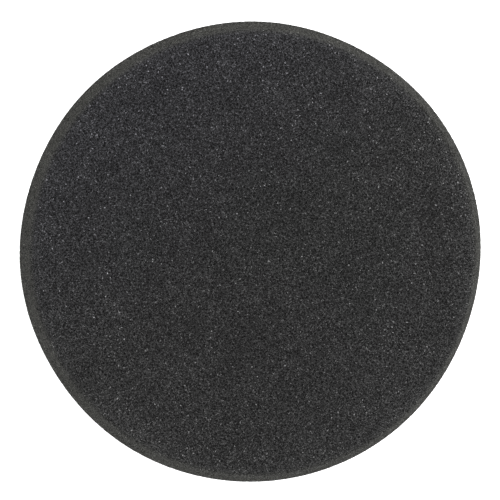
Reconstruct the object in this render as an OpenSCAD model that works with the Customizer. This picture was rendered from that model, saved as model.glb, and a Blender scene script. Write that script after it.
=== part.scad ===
// Foam polishing pad: an open-cell foam disc with a hook-and-loop backing.
// All sizes are in millimetres. The pad lies on its loop backing with the
// working face up; +Z is the spindle axis, and the origin is the centre of
// the loop tips, at the very bottom.

/* [Foam disc] */
// Widest diameter of the foam, low on its side
foam_d = 150; // [125:1:200]
// Height of the whole pad, from the loop tips to the working face
pad_h = 25; // [18:0.5:40]
// How far the side leans in between its widest place and its front corner
side_lean = 3.5; // [0.5:0.5:8]
// Radius of the corner around the working face
front_round = 3; // [0.5:0.25:4]
// Radius of the corner at the foam's back
back_round = 2.5; // [0.5:0.25:4]

/* [Backing] */
// How far the backing's cut edge stands in from the foam's widest place
backing_inset = 5; // [4.5:0.5:15]
// Height of the loop pile
pile_h = 1.6; // [0.8:0.1:3]
// Thickness of the knitted ground cloth that holds the loops
ground_t = 0.5; // [0.3:0.1:1]
// Thickness of the adhesive film between the cloth and the foam
film_t = 0.3; // [0.1:0.1:0.6]
// How far the film stops short of the cloth's cut edge
film_inset = 0.5; // [0.1:0.1:2]

/* [Hidden] */
$fn = 180;

foam_r = foam_d / 2;
backing_r = foam_r - backing_inset;
film_r = backing_r - film_inset;

// The layers, from the bottom up
ground_z = pile_h;
film_z = ground_z + ground_t;
foam_z = film_z + film_t;

// Centres of the two corner arcs, as [radius, height] in the profile
back_c = [foam_r - back_round, foam_z + back_round];
front_c = [foam_r - side_lean - front_round, pad_h - front_round];

// The leaning side is the straight line that touches both corner arcs.
// side_n is its outward normal, and each touch point lies along it.
arc_gap = norm(front_c - back_c);
arc_slope = atan2(front_c.y - back_c.y, front_c.x - back_c.x);
side_a = arc_slope - acos((back_round - front_round) / arc_gap);
side_n = [cos(side_a), sin(side_a)];
back_touch = back_c + back_round * side_n;
front_touch = front_c + front_round * side_n;

module foam_profile() {
    polygon([
        [0, foam_z],
        [back_c.x, foam_z],
        back_c,
        back_touch,
        front_touch,
        front_c,
        [front_c.x, pad_h],
        [0, pad_h]
    ]);
    translate(back_c) circle(r = back_round);
    translate(front_c) circle(r = front_round);
}

// The block of open-cell foam, flat in front, rounded at both corners
module foam_disc() {
    color("#343434") rotate_extrude() foam_profile();
}

// The glue layer that laminates the backing to the foam
module adhesive_film() {
    color("#c9bb8d") translate([0, 0, film_z]) cylinder(r = film_r, h = film_t);
}

// The knitted cloth that the loops grow from
module loop_ground() {
    color("#202122") translate([0, 0, ground_z]) cylinder(r = backing_r, h = ground_t);
}

// The space that the standing loops fill, down to their tips
module loop_pile() {
    color("#3a3b3d") cylinder(r = backing_r, h = pile_h);
}

foam_disc();
adhesive_film();
loop_ground();
loop_pile();
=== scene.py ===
"""Looks of a foam polishing pad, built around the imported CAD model.

The pad lies on its loop backing, working face up. The foam, the glue film,
the knitted ground cloth and the loops are each a piece of their own.
"""

import math
from collections import namedtuple

import bpy
import numpy as np
from mathutils import Matrix, Vector
from mathutils.geometry import delaunay_2d_cdt


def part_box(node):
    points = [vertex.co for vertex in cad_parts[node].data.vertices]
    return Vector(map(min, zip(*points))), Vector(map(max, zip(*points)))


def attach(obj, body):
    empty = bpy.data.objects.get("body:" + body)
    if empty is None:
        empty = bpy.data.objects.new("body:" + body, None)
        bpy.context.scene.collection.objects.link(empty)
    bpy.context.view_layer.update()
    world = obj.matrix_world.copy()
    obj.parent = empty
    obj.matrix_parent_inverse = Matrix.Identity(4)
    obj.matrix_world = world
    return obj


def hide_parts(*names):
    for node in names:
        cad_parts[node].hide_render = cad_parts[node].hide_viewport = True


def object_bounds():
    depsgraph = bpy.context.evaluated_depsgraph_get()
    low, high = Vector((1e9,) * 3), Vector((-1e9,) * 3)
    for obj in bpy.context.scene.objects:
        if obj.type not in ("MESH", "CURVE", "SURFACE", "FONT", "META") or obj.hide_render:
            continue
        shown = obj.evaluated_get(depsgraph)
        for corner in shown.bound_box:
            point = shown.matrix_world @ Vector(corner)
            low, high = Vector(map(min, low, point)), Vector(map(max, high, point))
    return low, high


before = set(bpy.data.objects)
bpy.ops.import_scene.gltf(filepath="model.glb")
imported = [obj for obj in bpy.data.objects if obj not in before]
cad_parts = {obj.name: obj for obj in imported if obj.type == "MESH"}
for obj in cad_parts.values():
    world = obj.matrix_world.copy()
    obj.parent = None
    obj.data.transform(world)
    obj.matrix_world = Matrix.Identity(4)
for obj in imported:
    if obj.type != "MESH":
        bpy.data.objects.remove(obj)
cad_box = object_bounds()

MM = 0.001
FULL_TURN = 2 * math.pi
BODY = "root"
SEED = 11

# A _RANGE holds two values and what each of them becomes. A _NOISE is the lumps to a metre and how many
# finer layers lie over them. A _BUMP is a strength and a height. Colours are linear.

# Foam skin
CELL = 0.54 * MM  # usual distance between two points of the skin
CELL_JITTER = 0.4  # how far a point strays from its place, as a share of CELL
LAST_GAP = 0.8 * CELL  # room left before the last ring
UNDER_FILM = 2 * CELL  # how far in from the film's edge the last ring lies
FRONT_ROUND = 3.0 * MM  # radius of the corner between the face and the side
ARC_STEPS = 60
SECTION_STEP = 0.05 * MM
SAME_HEIGHT = 0.01 * MM
SAME_POINT = 1e-9  # in the flat map's millimetres
SHALLOW_PORE, DEEP_PORE = 0.10 * MM, 0.38 * MM
STRUT_RELIEF = 0.025 * MM  # how far the points between the pores stand up or lie down
WAVE_TURNS = range(2, 9)  # how often each wave of an uneven outline goes round
CUT_WOBBLE = 0.40 * MM  # how far the die-cut outline strays from a true circle
WOBBLE_END = 2 * MM  # it stops this far before the last ring
FACE_WAVE = 0.06 * MM
FACE_WAVE_X, FACE_WAVE_Y = 9 * MM, 11 * MM
FACE_WAVE_SHIFT = 1.3

# Foam looks
STRUT_CELL = 0.48 * MM  # size of the cells that the material draws
STRUT_RANGE = (0.02, 0.13, 1.0, 0.0)  # distance from a strut's middle, as a share of a cell, to its light
DEEP_CELL = 0.8 * STRUT_CELL
DEEP_RANGE = (0.02, 0.12, 1.0, 0.0)
DEEP_SHIFT = (7 * MM, 5 * MM, 3 * MM)  # keeps the deeper net from lining up with the upper one
# The deeper net is painted dimmer, as shade further inside the foam
DEEP_LIGHT = 0.4
CELL_LIGHT = 0.12  # light still painted into the cells, which are otherwise painted dark as shade inside the open foam
GRAIN = 0.34 * MM
GRAIN_NOISE = (1 / GRAIN, 1.0)
GRAIN_CONTRAST = 120.0
GLINT_RANGE = (0.98, 1.0, 0.0, 7.5)  # two grains in a hundred shine
PORE_SHADE_RANGE = (0.0, 1.0, 1.1, 0.05)  # depth in a pore, to the light left there: painted shade down the pores
SLOW_NOISE = (90.0, 3.0)
SLOW_RANGE = (0.3, 0.7, 0.89, 1.11)
# Partly wear and partly painted light: the face is painted paler towards its corner, as sheen that the
# rounded edge catches, and the side is painted darker, as shade. A row holds the radius where a factor on
# the light sets in, the radius where it is full, and the factor.
WEAR_AND_PAINTED_LIGHT = (
    (31 * MM, 59 * MM, 1.09),
    (61 * MM, 68 * MM, 1.13),
    (68 * MM, 70 * MM, 1.12),
    (70.5 * MM, 72 * MM, 0.89),
)
FOAM_GREY = (0.0365, 0.0365, 0.0365, 1.0)
PAINTED_COOL_LIGHT_GREY = (0.0365, 0.0365, 0.0395, 1.0)
PAINTED_WARM_LIGHT_GREY = (0.037, 0.037, 0.0335, 1.0)
COOL_SIDE = (-0.57, 0.82, 0.0)  # the side painted slightly bluer, as painted cool light falling from there
COOL_RANGE = (0.0, 0.06, 0.0, 1.0)  # distance from the middle towards that side, to the share of blue
WARM_RANGE = (70 * MM, 72 * MM, 0.0, 1.0)  # the side is painted a warmer grey than the face, as painted warm bounce light
STRUT_ROUGH_RANGE = (0.0, 1.0, 0.95, 0.62)
FOAM_BUMP = (0.6, 0.12 * MM)
FOAM_SHINE = {
    "Specular IOR Level": 0.08,
    "Sheen Weight": 0.013,
    "Sheen Roughness": 0.45,
    "Sheen Tint": (1.0, 0.99, 0.85, 1.0),
}

# Glue film
FILM_POINTS = 480
FILM_RINGS = 7
FILM_EDGE_WAVE = 0.2 * MM
FILM_EDGE_STRAY = 0.05 * MM
GLUE_DARK, GLUE_PALE = (0.16, 0.145, 0.11, 1.0), (0.34, 0.31, 0.24, 1.0)
GLUE_NOISE = (900.0, 4.0)
GLUE_ROUGH_RANGE = (0.0, 1.0, 0.35, 0.65)
GLUE_BUMP = (0.4, 0.05 * MM)

# Ground cloth
WALE = 0.92 * MM  # distance between two rows of loops, and between loops in a row
CLOTH_STEP = WALE / 4
CLOTH_COLUMNS = 41
FIRST_ROW = 0.02 * MM
RIB_DEPTH = 0.08 * MM
FRAY = 0.15 * MM
KNIT_DARK, KNIT_PALE = (0.010, 0.010, 0.0105, 1.0), (0.05, 0.05, 0.052, 1.0)
WEAVE_SCALE = 420.0
WEAVE_DISTORTION = 1.5
FIBRE_NOISE = (2500.0, 3.0)
KNIT_ROUGH_RANGE = (0.0, 1.0, 0.9, 0.6)
KNIT_BUMP = (0.7, 0.08 * MM)
KNIT_SHEEN = 0.1

# Loops
YARN_R = 0.10 * MM
YARN_SIDES = 3
LOOP_PIECES = 3  # the rows are shared out over this many meshes
LOOP_BENDS = 6
LOOP_HALF_SPAN = 0.42 * MM
SPAN_SHARES = (0.8, 1.15)
# How wide a loop is at its feet, and how much it swells from there, as shares of its span
LOOP_NECK, LOOP_BELLY = 0.6, 0.5
LOOP_SQUARENESS = 0.7
LOOP_ROOT = 0.1 * MM  # how far the feet go into the ground cloth
LOOP_LOWEST, LOOP_HIGHEST = 0.0 * MM, 0.45 * MM  # where the crowns lie above the lowest point
LOOP_JITTER = 0.1 * WALE
LOOP_LEAN = 0.22 * MM
LOOP_TURN, LOOP_TWIST = 0.6, 0.4  # usual turn of a whole loop, and of its crown, in radians
END_COUNT = 900  # cut yarn ends round the cloth's rim
END_BENDS = 4
END_LENGTH = 0.9 * MM
END_SHARES = (0.3, 1.0)
END_DROPS = (-0.9, 0.1)  # how far an end drops or rises, as a share of its length
END_SKEW = 0.7
END_ROOT = 0.3 * MM
YARN_DARK, YARN_PALE = (0.01, 0.01, 0.0105, 1.0), (0.12, 0.12, 0.124, 1.0)
YARN_NOISE = (1200.0, 2.0)
YARN_TONE_RANGE = (0.3, 0.7, 0.6, 1.0)
YARN_ROUGH_RANGE = (0.0, 1.0, 0.45, 0.7)
# Painted shade in the pile: the yarn's light at the crowns and at the feet
CROWN_LIGHT, FOOT_LIGHT = 1.0, 0.1
YARN_SHEEN = 0.15

# Studio
FLOOR_HALF = 4.0
FLOOR_LOOKS = {
    "Base Color": (0.8, 0.8, 0.8, 1.0),
    "Roughness": 0.9,
    "Emission Color": (1.0, 1.0, 1.0, 1.0),
    "Emission Strength": 0.75,
}
WORLD_LOOKS = {"Color": (1.0, 1.0, 1.0, 1.0), "Strength": 1.0}
# Name, azimuth and elevation in degrees, distance and size in metres, power in watts
SOFT_BOXES = (
    ("key_box", 45, 75, 0.8, 0.6, 4.2),
    ("right_box", 28, 25, 0.8, 0.5, 1.6),
    ("near_box", 240, 20, 1.0, 0.5, 1.3),
)
CAMERA_RANGE = 1.0
CAMERA_TILT = math.radians(2.9)
CAMERA_SIDE = math.radians(158)
CAMERA_AIM = Vector((-0.0004, 0.0006, 0.005))
SENSOR = 36.0
FIELD = 0.1627  # width that the picture covers at the pad


# Meshes and pieces


def mesh_piece(name, points, faces, smooth=False):
    mesh = bpy.data.meshes.new(name)
    mesh.from_pydata(points.tolist(), [], faces.tolist())
    mesh.validate()
    if smooth:
        mesh.shade_smooth()
    piece = bpy.data.objects.new(name, mesh)
    bpy.context.scene.collection.objects.link(piece)
    return piece


def finish_piece(piece, material, node):
    piece.data.materials.append(material)
    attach(piece, BODY)
    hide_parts(node)


def on_circle(angles):
    """The outward direction at each angle, as (x, y)."""
    return np.stack([np.cos(angles), np.sin(angles)], 1)


def waves(angles, amplitude, random):
    """A slow closed wave round the circle, mostly within amplitude of zero."""
    out = np.zeros_like(angles)
    for turns in WAVE_TURNS:
        out += np.cos(turns * angles + random.uniform(0, FULL_TURN)) / turns
    return amplitude * out


# Materials

# A Mix node has sockets for every kind of data, and these are the places of those for colours
MIX_SHARE, MIX_ONE, MIX_OTHER, MIX_RESULT = 0, 6, 7, 2


def start_material(name):
    material = bpy.data.materials.new(name)
    material.use_nodes = True
    tree = material.node_tree
    return material, tree, tree.nodes["Principled BSDF"]


def add_node(tree, kind, inputs=None, **settings):
    """A shader node. Each input is a value, or an output socket to link from."""
    made = tree.nodes.new("ShaderNode" + kind)
    for key, value in settings.items():
        setattr(made, key, value)
    set_inputs(tree, made, inputs or {})
    return made


def set_inputs(tree, node, inputs):
    for key, value in inputs.items():
        if isinstance(value, bpy.types.NodeSocket):
            tree.links.new(value, node.inputs[key])
        else:
            node.inputs[key].default_value = value


def object_place(tree):
    return add_node(tree, "TexCoord").outputs["Object"]


def maths(tree, operation, *values):
    made = add_node(tree, "Math", dict(enumerate(values)), operation=operation)
    return made.outputs[0]


def vector_maths(tree, operation, *values):
    return add_node(tree, "VectorMath", dict(enumerate(values)), operation=operation).outputs


def remap(tree, value, low, high, to_low, to_high):
    inputs = {
        "Value": value,
        "From Min": low,
        "From Max": high,
        "To Min": to_low,
        "To Max": to_high,
    }
    return add_node(tree, "MapRange", inputs).outputs[0]


def noise(tree, place, scale, detail):
    inputs = {"Vector": place, "Scale": scale, "Detail": detail}
    return add_node(tree, "TexNoise", inputs).outputs[0]


def mix_colours(tree, share, one, other, **settings):
    inputs = {MIX_SHARE: share, MIX_ONE: one, MIX_OTHER: other}
    made = add_node(tree, "Mix", inputs, data_type="RGBA", **settings)
    return made.outputs[MIX_RESULT]


def bump(tree, height, strength, distance):
    inputs = {"Strength": strength, "Distance": distance, "Height": height}
    return add_node(tree, "Bump", inputs).outputs[0]


# The foam disc

# The foam's half section, step by step from the face's centre over the side to the back: the distance
# walked, the radius, the height, the outward normal and the radius in a flat map that keeps angles true
Section = namedtuple("Section", "walked radius height normal_out normal_up flat")


def arc(centre, radius, start, stop):
    """Points round part of a circle, and the outward direction at each."""
    outward = on_circle(np.linspace(start, stop, ARC_STEPS))
    return centre + radius * outward, outward


def foam_outline():
    """The half section's corner points as (radius, height), their normals, and the flat face's radius."""
    low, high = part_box("foam_disc")
    rim = np.array([v.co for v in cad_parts["foam_disc"].data.vertices])
    radii = np.hypot(rim[:, 0], rim[:, 1])
    face_radius = radii[rim[:, 2] > high.z - SAME_HEIGHT].max()
    back_radius = radii[rim[:, 2] < low.z + SAME_HEIGHT].max()
    back_round = radii.max() - back_radius

    front_centre = np.array([face_radius, high.z - FRONT_ROUND])
    back_centre = np.array([back_radius, low.z + back_round])
    gap = front_centre - back_centre
    side = math.atan2(gap[1], gap[0]) - math.acos((back_round - FRONT_ROUND) / math.hypot(*gap))
    front, front_normals = arc(front_centre, FRONT_ROUND, math.pi / 2, side)
    back, back_normals = arc(back_centre, back_round, side, -math.pi / 2)
    last_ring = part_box("adhesive_film")[1].x - UNDER_FILM
    places = np.vstack([[0, high.z], front, back, [last_ring, low.z]])
    normals = np.vstack([[0, 1], front_normals, back_normals, [0, -1]])
    return places, normals, face_radius


def foam_section():
    places, normals, face_radius = foam_outline()
    corners = np.concatenate([[0], np.cumsum(np.hypot(*np.diff(places, axis=0).T))])
    walked = np.arange(0, corners[-1], SECTION_STEP)
    radius, height = (np.interp(walked, corners, row) for row in places.T)
    normal_out, normal_up = (np.interp(walked, corners, row) for row in normals.T)
    on_face = walked < face_radius
    growth = np.where(on_face, 0, SECTION_STEP / np.maximum(radius, MM))
    flat = np.where(on_face, radius, face_radius) * np.exp(np.cumsum(growth))
    return Section(walked, radius, height, normal_out, normal_up, flat)


def scatter(section, random):
    """Points spread evenly but at random over the skin, as (distance walked, angle).

    The last ring is regular, because the flat back closes on it.
    """
    end = section.walked[-1]
    walked, angles = [], []
    for middle in np.arange(CELL / 2, end - LAST_GAP, CELL):
        radius = np.interp(middle, section.walked, section.radius)
        count = round(FULL_TURN * radius / CELL)
        jitter = random.uniform(-CELL_JITTER, CELL_JITTER, (2, count))
        walked.append(middle + CELL * jitter[0])
        angles.append(FULL_TURN * (np.arange(count) + jitter[1] + random.random()) / count)
    last = round(FULL_TURN * section.radius[-1] / CELL)
    walked.append(np.full(last, end))
    angles.append(FULL_TURN * np.arange(last) / last)
    return np.concatenate(walked), np.concatenate(angles), last


def pore_bottoms(triangles, count, random):
    """Picks points at random until every point is a pore's bottom or next to one, but none is both."""
    rank = random.random(count)
    one, other = np.vstack([triangles[:, [0, 1]], triangles[:, [1, 2]], triangles[:, [2, 0]]]).T
    pore = np.zeros(count, bool)
    free = np.ones(count, bool)
    while free.any():
        value = np.where(free, rank, -1.0)
        best = value.copy()
        np.maximum.at(best, one, value[other])
        np.maximum.at(best, other, value[one])
        picked = free & (value == best)
        pore |= picked
        free &= ~picked
        free[one[picked[other]]] = False
        free[other[picked[one]]] = False
    return pore


def foam_mesh():
    """The skin's points and triangles, and how deep in a pore each point lies, from 0 to 1."""
    random = np.random.default_rng(SEED)
    section = foam_section()
    walked, angles, last = scatter(section, random)
    count = len(walked)
    at = Section(*(np.interp(walked, section.walked, row) for row in section))
    flat_points = [Vector(point) for point in at.flat[:, None] * on_circle(angles) / MM]
    triangles = np.array(delaunay_2d_cdt(flat_points, [], [], 0, SAME_POINT, False)[2])

    is_pore = pore_bottoms(triangles, count, random)
    pore_depth = random.uniform(SHALLOW_PORE, DEEP_PORE, count)
    strut_depth = random.uniform(-STRUT_RELIEF, STRUT_RELIEF, count)
    depth = np.where(is_pore, pore_depth, strut_depth)
    depth[-last:] = 0
    on_side = np.clip(1 - at.normal_up, 0, 1) * (walked < section.walked[-1] - WOBBLE_END)
    radius = at.radius - depth * at.normal_out + waves(angles, CUT_WOBBLE, random) * on_side
    x, y = (radius[:, None] * on_circle(angles)).T
    face_wave = FACE_WAVE * np.sin(x / FACE_WAVE_X + FACE_WAVE_SHIFT) * np.cos(y / FACE_WAVE_Y)
    height = at.height - depth * at.normal_up + face_wave * np.clip(at.normal_up, 0, 1)
    back = section.height[-1]
    height = np.maximum(height, back)

    ring = np.arange(count - last, count)
    closing = np.stack([np.roll(ring, -1), ring, np.full(last, count)], 1)
    points = np.vstack([np.stack([x, y, height], 1), [0, 0, back]])
    in_pore = np.append(np.clip(depth / DEEP_PORE, 0, 1), 0)
    return points, np.vstack([triangles, closing]), in_pore


def strut_net(tree, place, cell, strut_range):
    inputs = {"Vector": place, "Scale": 1 / cell}
    cells = add_node(tree, "TexVoronoi", inputs, feature="DISTANCE_TO_EDGE")
    return remap(tree, cells.outputs["Distance"], *strut_range)


def glints(tree, place):
    cells = add_node(tree, "TexVoronoi", {"Vector": place, "Scale": 1 / GRAIN})
    chance = add_node(tree, "SeparateColor", {"Color": cells.outputs["Color"]}).outputs[0]
    return remap(tree, chance, *GLINT_RANGE)


def foam_light(tree, place, struts, outward):
    """How light the foam is at a place: lit struts over cells painted dark as shade, with a second net
    painted dimmer as shade deeper in.
    """
    grain = noise(tree, place, *GRAIN_NOISE)
    tone = maths(tree, "POWER", GRAIN_CONTRAST, maths(tree, "SUBTRACT", grain, 0.5))
    lit = maths(tree, "MULTIPLY", struts, maths(tree, "ADD", tone, glints(tree, place)))
    moved = vector_maths(tree, "ADD", place, DEEP_SHIFT)[0]
    deep = maths(tree, "MULTIPLY", strut_net(tree, moved, DEEP_CELL, DEEP_RANGE), DEEP_LIGHT)
    inside = maths(tree, "MULTIPLY", maths(tree, "ADD", deep, CELL_LIGHT), tone)
    light = maths(tree, "MAXIMUM", lit, inside)

    # The pores are painted darker the deeper they go, as shade.
    pore = add_node(tree, "Attribute", attribute_name="pore").outputs["Fac"]
    slow = noise(tree, place, *SLOW_NOISE)
    factors = [remap(tree, pore, *PORE_SHADE_RANGE), remap(tree, slow, *SLOW_RANGE)]
    # Partly wear, partly painted sheen towards the rim and painted shade on the side
    factors += [remap(tree, outward, start, stop, 1.0, paler) for start, stop, paler in WEAR_AND_PAINTED_LIGHT]
    for factor in factors:
        light = maths(tree, "MULTIPLY", light, factor)
    return light


def foam_grey_with_painted_tints(tree, place, outward):
    """Grey, with painted cool light making one side of the pad slightly bluer and painted warm light on the
    pad's side.
    """
    across = vector_maths(tree, "DOT_PRODUCT", place, COOL_SIDE)["Value"]
    cool = remap(tree, across, *COOL_RANGE)
    warm = remap(tree, outward, *WARM_RANGE)
    face = mix_colours(tree, cool, FOAM_GREY, PAINTED_COOL_LIGHT_GREY)
    return mix_colours(tree, warm, face, PAINTED_WARM_LIGHT_GREY)


def foam_material():
    material, tree, shader = start_material("black_open_cell_foam")
    place = object_place(tree)
    level = vector_maths(tree, "MULTIPLY", place, (1.0, 1.0, 0.0))[0]
    outward = vector_maths(tree, "LENGTH", level)["Value"]
    struts = strut_net(tree, place, STRUT_CELL, STRUT_RANGE)
    light = foam_light(tree, place, struts, outward)
    looks = {
        "Base Color": mix_colours(tree, 1.0, foam_grey_with_painted_tints(tree, place, outward), light, blend_type="MULTIPLY"),
        "Roughness": remap(tree, struts, *STRUT_ROUGH_RANGE),
        "Normal": bump(tree, struts, *FOAM_BUMP),
    }
    set_inputs(tree, shader, looks | FOAM_SHINE)
    return material


def make_foam():
    points, triangles, in_pore = foam_mesh()
    piece = mesh_piece("open_cell_foam", points, triangles)
    piece.data.attributes.new("pore", "FLOAT", "POINT").data.foreach_set("value", in_pore)
    finish_piece(piece, foam_material(), "foam_disc")


# The glue film


def film_mesh():
    """A flat disc of glue with a soft, slightly wandering edge."""
    random = np.random.default_rng(SEED + 1)
    low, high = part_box("adhesive_film")
    angles = np.linspace(0, FULL_TURN, FILM_POINTS, endpoint=False)
    edge = waves(angles, FILM_EDGE_WAVE, random) + random.normal(0, FILM_EDGE_STRAY, FILM_POINTS)
    half = (high.z - low.z) / 2
    points = []
    for bulge in np.linspace(math.pi / 2, -math.pi / 2, FILM_RINGS):
        radius = high.x - half + half * math.cos(bulge)
        level = np.full(FILM_POINTS, low.z + half + half * math.sin(bulge))
        points.append(np.column_stack([(radius + edge)[:, None] * on_circle(angles), level]))
    points = np.vstack(points + [[[0, 0, high.z], [0, 0, low.z]]])

    index = np.arange(FILM_RINGS * FILM_POINTS).reshape(FILM_RINGS, FILM_POINTS)
    after = np.roll(index, -1, 1)
    top, bottom = (np.full(FILM_POINTS, index.size + k) for k in (0, 1))
    fans = np.stack([[top, index[0], after[0]], [bottom, after[-1], index[-1]]])
    walls = np.stack([[index[:-1], index[1:], after[1:]], [index[:-1], after[1:], after[:-1]]])
    faces = [np.moveaxis(part, 1, -1).reshape(-1, 3) for part in (walls, fans)]
    return points, np.vstack(faces)


def film_material():
    material, tree, shader = start_material("glue_film")
    lumps = noise(tree, object_place(tree), *GLUE_NOISE)
    looks = {
        "Base Color": mix_colours(tree, lumps, GLUE_DARK, GLUE_PALE),
        "Roughness": remap(tree, lumps, *GLUE_ROUGH_RANGE),
        "Normal": bump(tree, lumps, *GLUE_BUMP),
    }
    set_inputs(tree, shader, looks)
    return material


def make_film():
    film = mesh_piece("glue_film", *film_mesh(), smooth=True)
    finish_piece(film, film_material(), "adhesive_film")


# The ground cloth


def cloth_mesh():
    """The cloth's disc, with a rib under each row of loops and a frayed cut edge."""
    random = np.random.default_rng(SEED + 2)
    low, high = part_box("loop_ground")
    radius = high.x
    rows = np.arange(-radius + FIRST_ROW, radius, CLOTH_STEP)
    columns = np.linspace(-1, 1, CLOTH_COLUMNS)
    fray = np.clip(random.normal(0, FRAY / 2, (len(rows), 2)), -FRAY, FRAY)
    reach = np.sqrt(radius**2 - rows**2)[:, None] + fray
    x = np.where(columns < 0, reach[:, :1], reach[:, 1:]) * columns
    y = np.repeat(rows[:, None], CLOTH_COLUMNS, 1)
    rib = RIB_DEPTH * (0.5 + 0.5 * np.cos(FULL_TURN * rows / WALE))
    under = np.repeat((low.z + rib)[:, None], CLOTH_COLUMNS, 1)
    over = np.full_like(under, high.z)
    below = np.stack([x, y, under], 2)
    above = np.stack([x, y, over], 2)[:, ::-1]
    points = np.concatenate([below, above], 1)

    index = np.arange(points.shape[0] * points.shape[1]).reshape(points.shape[:2])
    a, b = index[:-1], index[1:]
    a_next, b_next = np.roll(a, -1, 1), np.roll(b, -1, 1)
    faces = [np.stack([a, b, b_next, a_next], 2).reshape(-1, 4)]
    for row, direction in ((index[0], 1), (index[-1], -1)):
        bottom, top = row[:CLOTH_COLUMNS], row[CLOTH_COLUMNS:][::-1]
        cap = np.stack([bottom[:-1], bottom[1:], top[1:], top[:-1]], 1)
        faces.append(cap[:, ::direction])
    return points.reshape(-1, 3), np.vstack(faces)


def cloth_material():
    material, tree, shader = start_material("knitted_ground")
    place = object_place(tree)
    inputs = {"Vector": place, "Scale": WEAVE_SCALE, "Distortion": WEAVE_DISTORTION}
    weave = add_node(tree, "TexWave", inputs).outputs["Fac"]
    knit = maths(tree, "MULTIPLY", weave, noise(tree, place, *FIBRE_NOISE))
    looks = {
        "Base Color": mix_colours(tree, knit, KNIT_DARK, KNIT_PALE),
        "Roughness": remap(tree, knit, *KNIT_ROUGH_RANGE),
        "Normal": bump(tree, knit, *KNIT_BUMP),
        "Sheen Weight": KNIT_SHEEN,
    }
    set_inputs(tree, shader, looks)
    return material


# The loops


def tubes(paths, across, radius):
    """One thin tube along each path. Paths are arrays of (tube, point, xyz)."""
    count, bends = paths.shape[:2]
    tangent = np.gradient(paths, axis=1)
    tangent /= np.linalg.norm(tangent, axis=2, keepdims=True)
    out = np.cross(tangent, across[:, None])
    out /= np.linalg.norm(out, axis=2, keepdims=True)
    side = np.cross(out, tangent)
    turns = FULL_TURN * np.arange(YARN_SIDES) / YARN_SIDES
    rings = [paths + radius * (math.cos(turn) * side + math.sin(turn) * out) for turn in turns]
    points = np.stack(rings, 2).reshape(-1, 3)

    one = np.arange(bends * YARN_SIDES).reshape(bends, YARN_SIDES)
    a, b = one[:-1], one[1:]
    a_next, b_next = np.roll(a, -1, 1), np.roll(b, -1, 1)
    walls = [np.stack(corners, 2).reshape(-1, 3) for corners in ((a, b_next, b), (a, a_next, b_next))]
    tube = np.vstack(walls + [one[:1, ::-1], one[-1:]])
    starts = np.arange(count) * one.size
    return points, (tube + starts[:, None, None]).reshape(-1, 3)


def loop_paths(random):
    """The line of every standing loop, its sideways direction and the row that it is in."""
    low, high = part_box("loop_pile")
    reach = high.x - LOOP_HALF_SPAN - LOOP_LEAN
    steps = np.arange(-reach, reach, WALE)
    x, y = np.meshgrid(steps, steps)
    row = np.repeat(np.arange(len(steps)), len(steps)).reshape(x.shape)
    x[1::2] += WALE / 2
    keep = np.hypot(x, y) < reach
    x, y, row = x[keep], y[keep], row[keep]
    count = len(x)
    x = x + random.normal(0, LOOP_JITTER, count)
    y = y + random.normal(0, LOOP_JITTER, count)
    turn = random.normal(0, LOOP_TURN, count)
    span = LOOP_HALF_SPAN * random.uniform(*SPAN_SHARES, count)
    foot = high.z + LOOP_ROOT
    crown = low.z + YARN_R + random.uniform(LOOP_LOWEST, LOOP_HIGHEST, count)
    lean = np.clip(random.normal(0, LOOP_LEAN / 2, (count, 2)), -LOOP_LEAN, LOOP_LEAN)
    twist = random.normal(0, LOOP_TWIST, count)

    paths = np.empty((count, LOOP_BENDS, 3))
    for k, t in enumerate(np.linspace(0, math.pi, LOOP_BENDS)):
        sideways = -math.cos(t) * (LOOP_NECK + LOOP_BELLY * math.sin(t)) * span
        down = math.sin(t) ** LOOP_SQUARENESS
        facing = turn + twist * down
        paths[:, k, 0] = x + sideways * np.cos(facing) + lean[:, 0] * down
        paths[:, k, 1] = y + sideways * np.sin(facing) + lean[:, 1] * down
        paths[:, k, 2] = foot + (crown - foot) * down
    across = np.stack([-np.sin(turn), np.cos(turn), np.zeros(count)], 1)
    return paths, across, row


def end_paths(random):
    """The lines of the cut yarn ends that stick out round the cloth's rim."""
    low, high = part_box("loop_ground")
    turn = random.uniform(0, FULL_TURN, END_COUNT)
    outward = on_circle(turn)
    skew = np.stack([-np.sin(turn), np.cos(turn)], 1) * random.normal(0, END_SKEW, END_COUNT)[:, None]
    length = END_LENGTH * random.uniform(*END_SHARES, END_COUNT)[:, None]
    drop = random.uniform(*END_DROPS, END_COUNT)
    start = outward * (high.x - END_ROOT)
    height = random.uniform(low.z + YARN_R, high.z - YARN_R, END_COUNT)
    paths = np.empty((END_COUNT, END_BENDS, 3))
    for k, share in enumerate(np.linspace(0, 1, END_BENDS)):
        paths[:, k, :2] = start + (outward + skew * share) * length * share
        paths[:, k, 2] = height + drop * length[:, 0] * share**2
    across = np.tile([0.0, 0.0, 1.0], (END_COUNT, 1))
    return paths, across


def yarn_material():
    """Black nylon, painted palest at the crowns and dark down in the pile, as shade between the loops."""
    material, tree, shader = start_material("loop_yarn")
    low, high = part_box("loop_pile")
    place = object_place(tree)
    height = add_node(tree, "SeparateXYZ", {"Vector": place}).outputs["Z"]
    fibres = noise(tree, place, *YARN_NOISE)
    painted_pile_shade = remap(tree, height, low.z, high.z, CROWN_LIGHT, FOOT_LIGHT)
    tone = maths(tree, "MULTIPLY", painted_pile_shade, remap(tree, fibres, *YARN_TONE_RANGE))
    looks = {
        "Base Color": mix_colours(tree, tone, YARN_DARK, YARN_PALE),
        "Roughness": remap(tree, fibres, *YARN_ROUGH_RANGE),
        "Sheen Weight": YARN_SHEEN,
    }
    set_inputs(tree, shader, looks)
    return material


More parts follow.
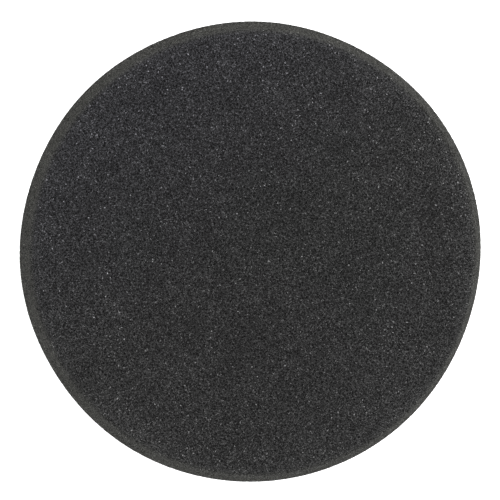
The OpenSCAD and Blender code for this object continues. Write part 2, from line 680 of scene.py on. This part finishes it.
def make_loops():
    """The standing loops, whose rows are shared out over some pieces, and the cut ends."""
    random = np.random.default_rng(SEED + 3)
    paths, across, row = loop_paths(random)
    tube_meshes = {}
    for k in range(LOOP_PIECES):
        mine = row % LOOP_PIECES == k
        tube_meshes[f"yarn_loops_{k + 1}"] = tubes(paths[mine], across[mine], YARN_R)
    tube_meshes["cut_yarn_ends"] = tubes(*end_paths(random), YARN_R / 2)

    yarn = yarn_material()
    pieces = []
    for name, mesh in tube_meshes.items():
        piece = mesh_piece(name, *mesh, smooth=True)
        finish_piece(piece, yarn, "loop_pile")
        pieces.append(piece)
    return pieces


def make_cloth():
    ground = mesh_piece("ground_cloth", *cloth_mesh())
    finish_piece(ground, cloth_material(), "loop_ground")
    make_loops()


# Floor, light and camera


def make_floor():
    low = cad_box[0].z
    corners = [(-1, -1), (1, -1), (1, 1), (-1, 1)]
    points = np.array([[FLOOR_HALF * x, FLOOR_HALF * y, low] for x, y in corners])
    floor = mesh_piece("floor", points, np.array([[0, 1, 2, 3]]))
    material, tree, shader = start_material("white_floor")
    set_inputs(tree, shader, FLOOR_LOOKS)
    floor.data.materials.append(material)


def soft_box(name, azimuth, elevation, distance, size, power):
    """A round soft light that faces the pad."""
    turn, rise = math.radians(azimuth), math.radians(elevation)
    level = math.cos(rise)
    place = distance * Vector((level * math.cos(turn), level * math.sin(turn), math.sin(rise)))
    light = bpy.data.lights.new(name, "AREA")
    light.shape = "DISK"
    light.size = size
    light.energy = power
    lamp = bpy.data.objects.new(name, light)
    bpy.context.scene.collection.objects.link(lamp)
    lamp.location = place
    lamp.rotation_mode = "QUATERNION"
    lamp.rotation_quaternion = (-place).to_track_quat("-Z", "Y")
    lamp.visible_camera = False


def make_light():
    world = bpy.data.worlds.new("studio")
    bpy.context.scene.world = world
    world.use_nodes = True
    set_inputs(world.node_tree, world.node_tree.nodes["Background"], WORLD_LOOKS)
    for box in SOFT_BOXES:
        soft_box(*box)
    bpy.context.scene.view_settings.view_transform = "Standard"


def make_camera():
    camera = bpy.data.cameras.new("camera")
    camera.sensor_width = SENSOR
    camera.lens = SENSOR * CAMERA_RANGE / FIELD
    holder = bpy.data.objects.new("camera", camera)
    bpy.context.scene.collection.objects.link(holder)
    lean = math.sin(CAMERA_TILT)
    back = Vector((lean * math.cos(CAMERA_SIDE), lean * math.sin(CAMERA_SIDE), math.cos(CAMERA_TILT)))
    right = Vector((0, 1, 0)).cross(back).normalized()
    turn = Matrix((right, back.cross(right), back)).transposed()
    holder.matrix_world = Matrix.Translation(CAMERA_AIM + CAMERA_RANGE * back) @ turn.to_4x4()
    bpy.context.scene.camera = holder


make_camera()
make_foam()
make_film()
make_cloth()
make_floor()
make_light()

bpy.context.view_layer.update()
